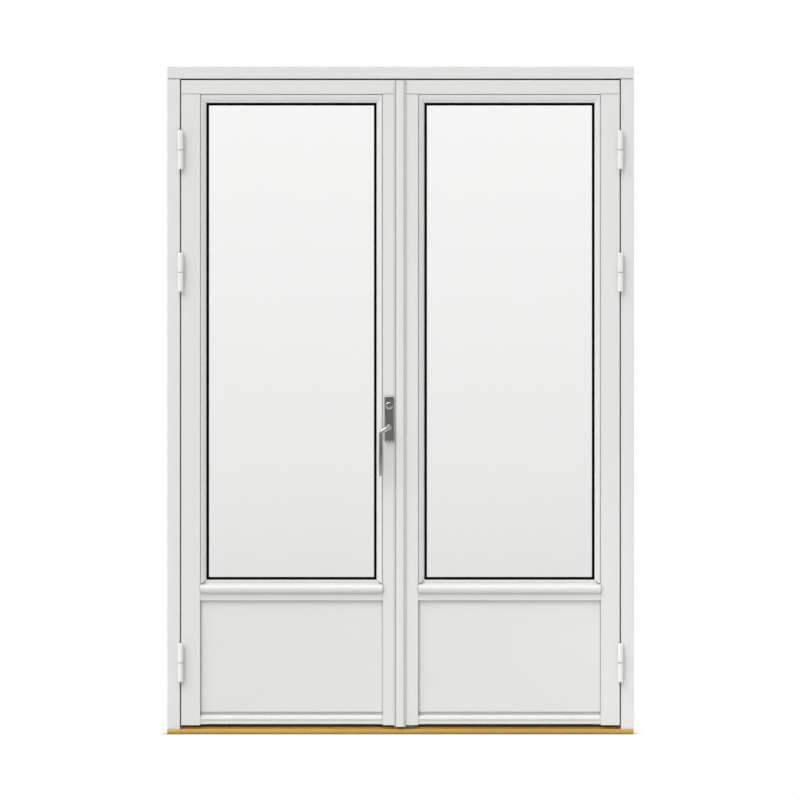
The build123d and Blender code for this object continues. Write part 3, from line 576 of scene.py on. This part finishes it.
class FRENCH_DOORS_OT_paint_joint_shadows(bpy.types.Operator):
    """Paint dark shadow lines along the joints of the jambs with the head, and of the stiles with the top
    rails
    """

    bl_idname = "french_doors.seal_joints"
    bl_label = "Paint joint shadows"

    def execute(self, context):
        finish = context.scene.french_doors_finish
        joint_shadow_unevenness = 0.2
        joint_shadow_gloss = (0.5, 0.6)
        leaf_shadow_proud = 0.0001
        frame_shadow_proud = 0.0012
        values = surface_values(finish, finish.joint_shadow_colour, joint_shadow_unevenness, joint_shadow_gloss, 0)
        # Thin dark strips on the faces stand in as painted shadow along the joints.
        painted_shadow = coat_material("Joint sealant", values, {}, moulded_relief)
        frame_boxes = []
        for side in sides:
            jamb_span, *stile_spans = bare_face_spans(side)
            jamb_low, jamb_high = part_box(f"{side}_jamb")
            frame_boxes.append(joint_shadow_box(jamb_span, jamb_low.y - frame_shadow_proud, jamb_high.z))
            stile_low, stile_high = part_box(f"{side}_hinge_stile")
            front = stile_low.y - leaf_shadow_proud
            leaf_boxes = [joint_shadow_box(span, front, stile_high.z) for span in stile_spans]
            name = f"{side}_leaf_joint_shadow"
            shown(name, box_mesh(name, leaf_boxes, painted_shadow), f"{side}_leaf")
        shown("frame_joint_shadow", box_mesh("frame_joint_shadow", frame_boxes, painted_shadow), "frame")
        return {"FINISHED"}


class FRENCH_DOORS_OT_oil_threshold(bpy.types.Operator):
    """Give the threshold its oiled oak"""

    bl_idname = "french_doors.oil_threshold"
    bl_label = "Oil threshold"

    def execute(self, context):
        finish = context.scene.french_doors_finish
        grain_relief = (0.15, 0.0004)
        group = shared_group("Timber grain", build_grain_group)
        # The oak also darkens as painted shade where other surfaces close in, along the floor and under the
        # leaves.
        values = {
            "Light": solid(finish.oak_light_colour),
            "Dark": solid(finish.oak_dark_colour),
            "Crevice shade reach": finish.oak_crevice_shade_reach,
            "Crevice shade depth": finish.crevice_shade_depth,
        }
        dress("oak", new_material("Oiled oak", group, values, {}, grain_relief))
        return {"FINISHED"}


# Glazing


class FRENCH_DOORS_OT_glaze_leaves(bpy.types.Operator):
    """Make the panes clear, and the gaskets, the seal and the spacers black"""

    bl_idname = "french_doors.glaze_leaves"
    bl_label = "Glaze leaves"

    def execute(self, context):
        finish = context.scene.french_doors_finish
        clear = {"Roughness": 0, "IOR": 1.5, "Transmission Weight": 1}
        rubber_unevenness = 0.3
        rubber_gloss = (0.6, 0.75)
        spacer_unevenness = 0.2
        spacer_gloss = (0.5, 0.6)
        dull = {"Specular IOR Level": 0.05}
        pane_low, pane_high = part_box("left_outer_pane")
        # The panes' colour is painted lighter at the top and darker at the foot, as a painted reflection.
        painted_reflection = {
            "Top": solid(finish.glass_top_colour_with_painted_light),
            "Bottom": solid(finish.glass_bottom_colour_with_painted_shade),
            "Low": pane_low.z,
            "High": pane_high.z,
        }
        group = shared_group("Pane tint", build_painted_reflection_group)
        dress("glass", new_material("Clear glass", group, painted_reflection, clear, None))
        rubber = surface_values(finish, finish.rubber_colour, rubber_unevenness, rubber_gloss, 0)
        dress("rubber", coat_material("Black rubber", rubber, dull, moulded_relief))
        spacer = surface_values(finish, finish.rubber_colour, spacer_unevenness, spacer_gloss, 0)
        dress("spacer", coat_material("Black spacer bar", spacer, dull, moulded_relief))
        return {"FINISHED"}


# Ironmongery


class FRENCH_DOORS_OT_polish_ironmongery(bpy.types.Operator):
    """Give the handles, bolts and plates their metals"""

    bl_idname = "french_doors.polish_ironmongery"
    bl_label = "Polish ironmongery"

    def execute(self, context):
        finish = context.scene.french_doors_finish
        unevenness = 0.2
        satin_gloss = (0.16, 0.26)
        plated_gloss = (0.3, 0.45)
        satin = metal_material("Satin handle metal", finish, finish.handle_colour, unevenness, satin_gloss)
        dress("handle_metal", satin)
        plated = metal_material("Zinc-plated steel", finish, finish.steel_colour, unevenness, plated_gloss)
        dress("steel", plated)
        return {"FINISHED"}


def screw_head(tree, given):
    """A tapered screw head with a cross cut into it."""
    crown_share = 0.82
    recess_length_share = 1.15
    recess_depth_share = 1.3
    head = tree.nodes.new("GeometryNodeMeshCone")
    joined(tree, given.outputs["Corners"], head.inputs["Vertices"])
    joined(tree, given.outputs["Head radius"], head.inputs["Radius Bottom"])
    crown = math_node(tree, "MULTIPLY", given.outputs["Head radius"], crown_share)
    joined(tree, crown, head.inputs["Radius Top"])
    joined(tree, given.outputs["Head height"], head.inputs["Depth"])
    recess_length = math_node(tree, "MULTIPLY", given.outputs["Head radius"], recess_length_share)
    recess_depth = math_node(tree, "MULTIPLY", given.outputs["Head height"], recess_depth_share)
    lift = tree.nodes.new("ShaderNodeCombineXYZ")
    joined(tree, given.outputs["Head height"], lift.inputs["Z"])
    cross = tree.nodes.new("GeometryNodeJoinGeometry")
    for along, across in (("X", "Y"), ("Y", "X")):
        extent = tree.nodes.new("ShaderNodeCombineXYZ")
        joined(tree, recess_length, extent.inputs[along])
        joined(tree, given.outputs["Recess width"], extent.inputs[across])
        joined(tree, recess_depth, extent.inputs["Z"])
        bar = tree.nodes.new("GeometryNodeMeshCube")
        joined(tree, extent.outputs[0], bar.inputs["Size"])
        moved = tree.nodes.new("GeometryNodeTransform")
        joined(tree, bar.outputs["Mesh"], moved.inputs["Geometry"])
        joined(tree, lift.outputs[0], moved.inputs["Translation"])
        joined(tree, moved.outputs["Geometry"], cross.inputs["Geometry"])
    cut = tree.nodes.new("GeometryNodeMeshBoolean")
    cut.operation = "DIFFERENCE"
    joined(tree, head.outputs["Mesh"], cut.inputs["Mesh 1"])
    joined(tree, cross.outputs["Geometry"], cut.inputs["Mesh 2"])
    return cut.outputs["Mesh"]


def build_screw_tree(sizes):
    """Cross-headed screws on points, each facing along the points' own directions."""
    inputs = (
        ("Places", "NodeSocketGeometry", None),
        ("Head radius", "NodeSocketFloat", sizes.head_radius),
        ("Head height", "NodeSocketFloat", sizes.head_height),
        ("Recess width", "NodeSocketFloat", sizes.recess_width),
        ("Corners", "NodeSocketInt", sizes.head_corners),
        ("Metal", "NodeSocketMaterial", None),
    )
    outputs = (("Screws", "NodeSocketGeometry"),)
    tree, given, made = new_group("Screw heads", "GeometryNodeTree", inputs, outputs)
    facing = tree.nodes.new("GeometryNodeInputNamedAttribute")
    facing.data_type = "FLOAT_VECTOR"
    facing.inputs["Name"].default_value = "facing"
    turned = tree.nodes.new("FunctionNodeAlignRotationToVector")
    turned.axis = "Z"
    joined(tree, facing.outputs["Attribute"], turned.inputs["Vector"])
    placed = tree.nodes.new("GeometryNodeInstanceOnPoints")
    joined(tree, given.outputs["Places"], placed.inputs["Points"])
    joined(tree, screw_head(tree, given), placed.inputs["Instance"])
    joined(tree, turned.outputs["Rotation"], placed.inputs["Rotation"])
    real = tree.nodes.new("GeometryNodeRealizeInstances")
    joined(tree, placed.outputs["Instances"], real.inputs["Geometry"])
    finished = tree.nodes.new("GeometryNodeSetMaterial")
    joined(tree, real.outputs["Geometry"], finished.inputs["Geometry"])
    joined(tree, given.outputs["Metal"], finished.inputs["Material"])
    joined(tree, finished.outputs["Geometry"], made.inputs["Screws"])
    return tree


def screw_mesh(context, name, places, metal):
    """A plain mesh of screw heads at (place, direction) pairs."""
    sizes = context.scene.french_doors_screws
    points = bpy.data.meshes.new(f"{name}_points")
    points.from_pydata([place for place, _ in places], [], [])
    facing = points.attributes.new("facing", "FLOAT_VECTOR", "POINT")
    for item, (_, direction) in zip(facing.data, places):
        item.vector = direction
    carrier = bpy.data.objects.new(f"{name}_points", points)
    context.scene.collection.objects.link(carrier)
    tree = bpy.data.node_groups.get("Screw heads") or build_screw_tree(sizes)
    values = {
        "Head radius": sizes.head_radius,
        "Head height": sizes.head_height,
        "Recess width": sizes.recess_width,
        "Corners": sizes.head_corners,
        "Metal": metal,
    }
    maker = carrier.modifiers.new("Screw heads", "NODES")
    maker.node_group = tree
    for socket in tree.interface.items_tree:
        if socket.in_out == "INPUT" and socket.name in values:
            maker[socket.identifier] = values[socket.name]
    shaped = carrier.evaluated_get(context.evaluated_depsgraph_get())
    mesh = bpy.data.meshes.new_from_object(shaped)
    mesh.name = name
    carrier.modifiers.remove(maker)
    bpy.data.objects.remove(carrier)
    return mesh


def hinge_screw_places(side):
    """Where the screws of one leaf's hinges go: on the jamb's plates, and on the leaf's plates."""
    screw_rises = (0.014, 0.029, 0.044)
    screw_depths = (0.014, 0.026, 0.014)
    outwards = -1 if side == "left" else 1
    on_jamb = []
    on_leaf = []
    for place in hinge_places:
        low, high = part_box(f"{side}_{place}_hinge_leaf")
        face = (low.x + high.x) / 2
        for rise, depth in zip(screw_rises, screw_depths):
            on_leaf.append(((face, high.y - depth, low.z + rise), (outwards, 0, 0)))
            on_jamb.append(((face, high.y - depth, low.z - rise), (-outwards, 0, 0)))
    return on_jamb, on_leaf


def keep_screw_places():
    """Where the screws of the two keeps go: at their ends and between the slots."""
    keep_thickness = 0.002
    end_inset = 0.005
    low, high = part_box("bolt_keeps")
    middle = (low + high) / 2
    places = []
    for across in (low.x + end_inset, middle.x, high.x - end_inset):
        places.append(((across, middle.y, high.z - keep_thickness), (0, 0, -1)))
        places.append(((across, middle.y, low.z + keep_thickness), (0, 0, 1)))
    return places


def faceplate_screw_places():
    """Where the screws of the long faceplate go."""
    height_shares = (0.02, 0.16, 0.32, 0.42, 0.5, 0.64, 0.8, 0.98)
    low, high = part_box("lock_faceplate")
    middle = (low + high) / 2
    return [
        ((high.x, middle.y, low.z + share * (high.z - low.z)), (1, 0, 0))
        for share in height_shares
    ]


def edge_plate_screw_places():
    """Where the screws of the two edge-bolt plates go, measured from the leaf's ends."""
    end_distances = (0.02, 0.11, 0.25)
    low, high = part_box("edge_bolt_plates")
    middle = (low + high) / 2
    heights = [low.z + distance for distance in end_distances]
    heights += [high.z - distance for distance in end_distances]
    return [((low.x, middle.y, height), (-1, 0, 0)) for height in heights]


def handle_hub():
    """The middle of the handle's spindle."""
    low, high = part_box("handle_spindle")
    return (low + high) / 2


def handle_plate_faces():
    """The outer faces of both handle plates: (depth, direction)."""
    outer_low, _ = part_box("outer_handle_plate")
    _, inner_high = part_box("inner_handle_plate")
    return ((outer_low.y, (0, -1, 0)), (inner_high.y, (0, 1, 0)))


def handle_screw_places():
    """Where the screws of the handle plates go: over and under the levers' hubs."""
    hub_offsets = (0.085, 0.015, -0.030)
    hub = handle_hub()
    return [
        ((hub.x, depth, hub.z + offset), direction)
        for depth, direction in handle_plate_faces()
        for offset in hub_offsets
    ]


class FRENCH_DOORS_OT_fit_screws(bpy.types.Operator):
    """Fit the screws of the hinges, plates, keeps and handles"""

    bl_idname = "french_doors.fit_screws"
    bl_label = "Fit screws"

    def execute(self, context):
        finish = context.scene.french_doors_finish
        steel_unevenness = 0.25
        steel_gloss = (0.25, 0.4)
        brass_unevenness = 0.2
        brass_gloss = (0.3, 0.4)
        steel = metal_material("Screw steel", finish, finish.steel_colour, steel_unevenness, steel_gloss)
        brass = metal_material("Screw brass", finish, finish.brass_colour, brass_unevenness, brass_gloss)
        frame_places = keep_screw_places()
        leaf_places = {"left": faceplate_screw_places(), "right": edge_plate_screw_places()}
        for side in sides:
            on_jamb, on_leaf = hinge_screw_places(side)
            frame_places += on_jamb
            leaf_places[side] += on_leaf
        shown("frame_screws", screw_mesh(context, "frame_screws", frame_places, steel), "frame")
        for side in sides:
            name = f"{side}_leaf_screws"
            shown(name, screw_mesh(context, name, leaf_places[side], steel), f"{side}_leaf")
        name = "handle_plate_screws"
        shown(name, screw_mesh(context, name, handle_screw_places(), brass), "left_leaf")
        return {"FINISHED"}


class FRENCH_DOORS_OT_turn_rosette(bpy.types.Operator):
    """Turn the domed key rosette on the outer handle plate"""

    bl_idname = "french_doors.turn_rosette"
    bl_label = "Turn rosette"

    def execute(self, context):
        finish = context.scene.french_doors_finish
        sizes = context.scene.french_doors_screws
        rise_above_hub = 0.064
        profile_shares = ((1, 0), (1, 0.35), (0.93, 0.7), (0.8, 0.92), (0.6, 1), (0.3, 1), (0, 1))
        turns = 40
        unevenness = 0.15
        gloss = (0.2, 0.3)
        hub = handle_hub()
        depth, direction = handle_plate_faces()[0]
        shape = bmesh.new()
        rings = []
        for radius_share, height_share in profile_shares:
            radius = radius_share * sizes.rosette_radius
            out = depth + direction[1] * height_share * sizes.rosette_height
            count = turns if radius_share else 1
            ring = []
            for turn in range(count):
                angle = 2 * math.pi * turn / turns
                across = hub.x + radius * math.cos(angle)
                height = hub.z + rise_above_hub + radius * math.sin(angle)
                ring.append(shape.verts.new((across, out, height)))
            rings.append(ring)
        for outer, inner in zip(rings, rings[1:]):
            for turn in range(turns):
                after = (turn + 1) % turns
                if len(inner) == 1:
                    shape.faces.new((outer[turn], outer[after], inner[0]))
                else:
                    shape.faces.new((outer[turn], outer[after], inner[after], inner[turn]))
        shape.faces.new(rings[0][::-1])
        bmesh.ops.recalc_face_normals(shape, faces=shape.faces)
        for face in shape.faces:
            face.smooth = True
        mesh = bpy.data.meshes.new("key_rosette")
        shape.to_mesh(mesh)
        shape.free()
        metal = metal_material("Rosette metal", finish, finish.handle_colour, unevenness, gloss)
        mesh.materials.append(metal)
        shown("key_rosette", mesh, "left_leaf")
        return {"FINISHED"}


# Stage


def seen_share(tree, path):
    """One for light that the camera sees straight, through glass or in a mirror, and zero for the rest."""
    straight = math_node(tree, "MAXIMUM", path.outputs["Is Camera Ray"], path.outputs["Is Transmission Ray"])
    return math_node(tree, "MAXIMUM", straight, path.outputs["Is Glossy Ray"])


def build_world(stage):
    """An even fill, seen as white, or in metal and gloss as soft grey ahead and behind."""
    white = (1, 1, 1)
    mirror_grey = (0.16, 0.16, 0.16)
    ahead_range = (0.25, 0.7)
    world = bpy.data.worlds.new("Studio")
    world.use_nodes = True
    tree = world.node_tree
    tree.nodes.clear()
    path = tree.nodes.new("ShaderNodeLightPath")
    ahead = math_node(tree, "ABSOLUTE", coordinates(tree, "Generated")["Y"], 0)
    ahead_share = ranged(tree, ahead, *ahead_range, 0, 1)
    reflected = colour_mix(tree, ahead_share, white, mirror_grey)
    through_share = math_node(tree, "SUBTRACT", 1, path.outputs["Is Transmission Ray"])
    mirror_share = math_node(tree, "MULTIPLY", path.outputs["Is Glossy Ray"], through_share)
    seen = tree.nodes.new("ShaderNodeBackground")
    joined(tree, colour_mix(tree, mirror_share, white, reflected), seen.inputs["Color"])
    fill = tree.nodes.new("ShaderNodeBackground")
    fill.inputs["Strength"].default_value = stage.fill_strength
    out = tree.nodes.new("ShaderNodeOutputWorld")
    joined(tree, shader_mix(tree, seen_share(tree, path), fill, seen), out.inputs["Surface"])
    bpy.context.scene.world = world


def build_floor():
    """A pale floor, white to the camera apart from the soft shadow round the threshold."""
    half_size = 14
    corner_sides = ((-1, -1), (1, -1), (1, 1), (-1, 1))
    shadow_reach = 0.04
    floor_colour = (0.7, 0.7, 0.7)
    floor_roughness = 0.9
    mesh = bpy.data.meshes.new("floor")
    corners = [(half_size * across, half_size * along, 0) for across, along in corner_sides]
    mesh.from_pydata(corners, [], [(0, 1, 2, 3)])
    material = bpy.data.materials.new("Pale floor")
    material.use_nodes = True
    tree = material.node_tree
    surface = tree.nodes["Principled BSDF"]
    surface.inputs["Base Color"].default_value = solid(floor_colour)
    surface.inputs["Roughness"].default_value = floor_roughness
    place = coordinates(tree, "Object")
    _, threshold_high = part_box("threshold")
    closeness = []
    for axis, reach in (("X", threshold_high.x), ("Y", threshold_high.y)):
        distance = math_node(tree, "ABSOLUTE", place[axis], 0)
        closeness.append(ranged(tree, distance, reach, reach + shadow_reach, 1, 0))
    bare_share = math_node(tree, "SUBTRACT", 1, math_node(tree, "MULTIPLY", *closeness))
    path = tree.nodes.new("ShaderNodeLightPath")
    white_share = math_node(tree, "MULTIPLY", seen_share(tree, path), bare_share)
    white = tree.nodes.new("ShaderNodeEmission")
    out = tree.nodes["Material Output"]
    joined(tree, shader_mix(tree, white_share, surface, white), out.inputs["Surface"])
    mesh.materials.append(material)
    floor = bpy.data.objects.new("floor", mesh)
    bpy.context.scene.collection.objects.link(floor)


def build_sun(name, towards, strength, softness):
    """A soft, even light that comes from a direction."""
    lamp = bpy.data.lights.new(name, "SUN")
    lamp.energy = strength
    lamp.angle = softness
    sun = bpy.data.objects.new(name, lamp)
    sun.rotation_euler = Vector(towards).to_track_quat("Z", "Y").to_euler()
    bpy.context.scene.collection.objects.link(sun)


def build_camera(stage):
    """A long lens, straight on, so that the doors show as in an elevation."""
    centre_x = -0.0014
    centre_height = 0.9957
    level = math.pi / 2
    far = 200
    lens = bpy.data.cameras.new("camera")
    lens.lens = stage.lens
    lens.clip_end = far
    leaf_low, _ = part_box("left_hinge_stile")
    distance = stage.view_width * lens.lens / lens.sensor_width
    camera = bpy.data.objects.new("camera", lens)
    camera.location = (centre_x, leaf_low.y - distance, centre_height)
    camera.rotation_euler = (level, 0, 0)
    bpy.context.scene.collection.objects.link(camera)
    bpy.context.scene.camera = camera


class FRENCH_DOORS_OT_build_stage(bpy.types.Operator):
    """Set up the floor, the lights, the background and the camera"""

    bl_idname = "french_doors.build_stage"
    bl_label = "Build stage"

    def execute(self, context):
        stage = context.scene.french_doors_stage
        key_direction = (-0.44, -0.55, 0.71)
        top_direction = (0, -0.5, 0.87)
        back_direction = (0.45, 0.7, 0.55)
        build_world(stage)
        build_floor()
        build_sun("key_light", key_direction, stage.key_strength, stage.key_softness)
        build_sun("top_light", top_direction, stage.top_strength, stage.top_softness)
        build_sun("back_light", back_direction, stage.back_strength, stage.key_softness)
        build_camera(stage)
        context.scene.view_settings.view_transform = "Standard"
        return {"FINISHED"}


# Add-on

operators = (
    FRENCH_DOORS_OT_paint_joinery,
    FRENCH_DOORS_OT_paint_joint_shadows,
    FRENCH_DOORS_OT_oil_threshold,
    FRENCH_DOORS_OT_glaze_leaves,
    FRENCH_DOORS_OT_polish_ironmongery,
    FRENCH_DOORS_OT_fit_screws,
    FRENCH_DOORS_OT_turn_rosette,
    FRENCH_DOORS_OT_build_stage,
)


class FRENCH_DOORS_PT_sidebar(bpy.types.Panel):
    """The doors' sizes, colours and steps"""

    bl_idname = "FRENCH_DOORS_PT_sidebar"
    bl_label = "French doors"
    bl_space_type = "VIEW_3D"
    bl_region_type = "UI"
    bl_category = "French doors"

    def draw(self, context):
        scene = context.scene
        for settings in (scene.french_doors_finish, scene.french_doors_screws, scene.french_doors_stage):
            box = self.layout.box()
            for name in settings.__annotations__:
                box.prop(settings, name)
        for operator in operators:
            self.layout.operator(operator.bl_idname)


property_groups = {
    "french_doors_finish": FrenchDoorsFinish,
    "french_doors_screws": FrenchDoorsScrews,
    "french_doors_stage": FrenchDoorsStage,
}


def register():
    """Register the add-on's classes and its settings on the scene."""
    for name, group in property_groups.items():
        bpy.utils.register_class(group)
        setattr(bpy.types.Scene, name, PointerProperty(type=group))
    for operator in operators:
        bpy.utils.register_class(operator)
    bpy.utils.register_class(FRENCH_DOORS_PT_sidebar)


def unregister():
    """Undo register."""
    bpy.utils.unregister_class(FRENCH_DOORS_PT_sidebar)
    for operator in reversed(operators):
        bpy.utils.unregister_class(operator)
    for name, group in property_groups.items():
        delattr(bpy.types.Scene, name)
        bpy.utils.unregister_class(group)


def main():
    """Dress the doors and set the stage."""
    register()
    bpy.ops.french_doors.paint_joinery()
    bpy.ops.french_doors.seal_joints()
    bpy.ops.french_doors.oil_threshold()
    bpy.ops.french_doors.glaze_leaves()
    bpy.ops.french_doors.polish_ironmongery()
    bpy.ops.french_doors.fit_screws()
    bpy.ops.french_doors.turn_rosette()
    bpy.ops.french_doors.build_stage()


if __name__ == "__main__":
    main()
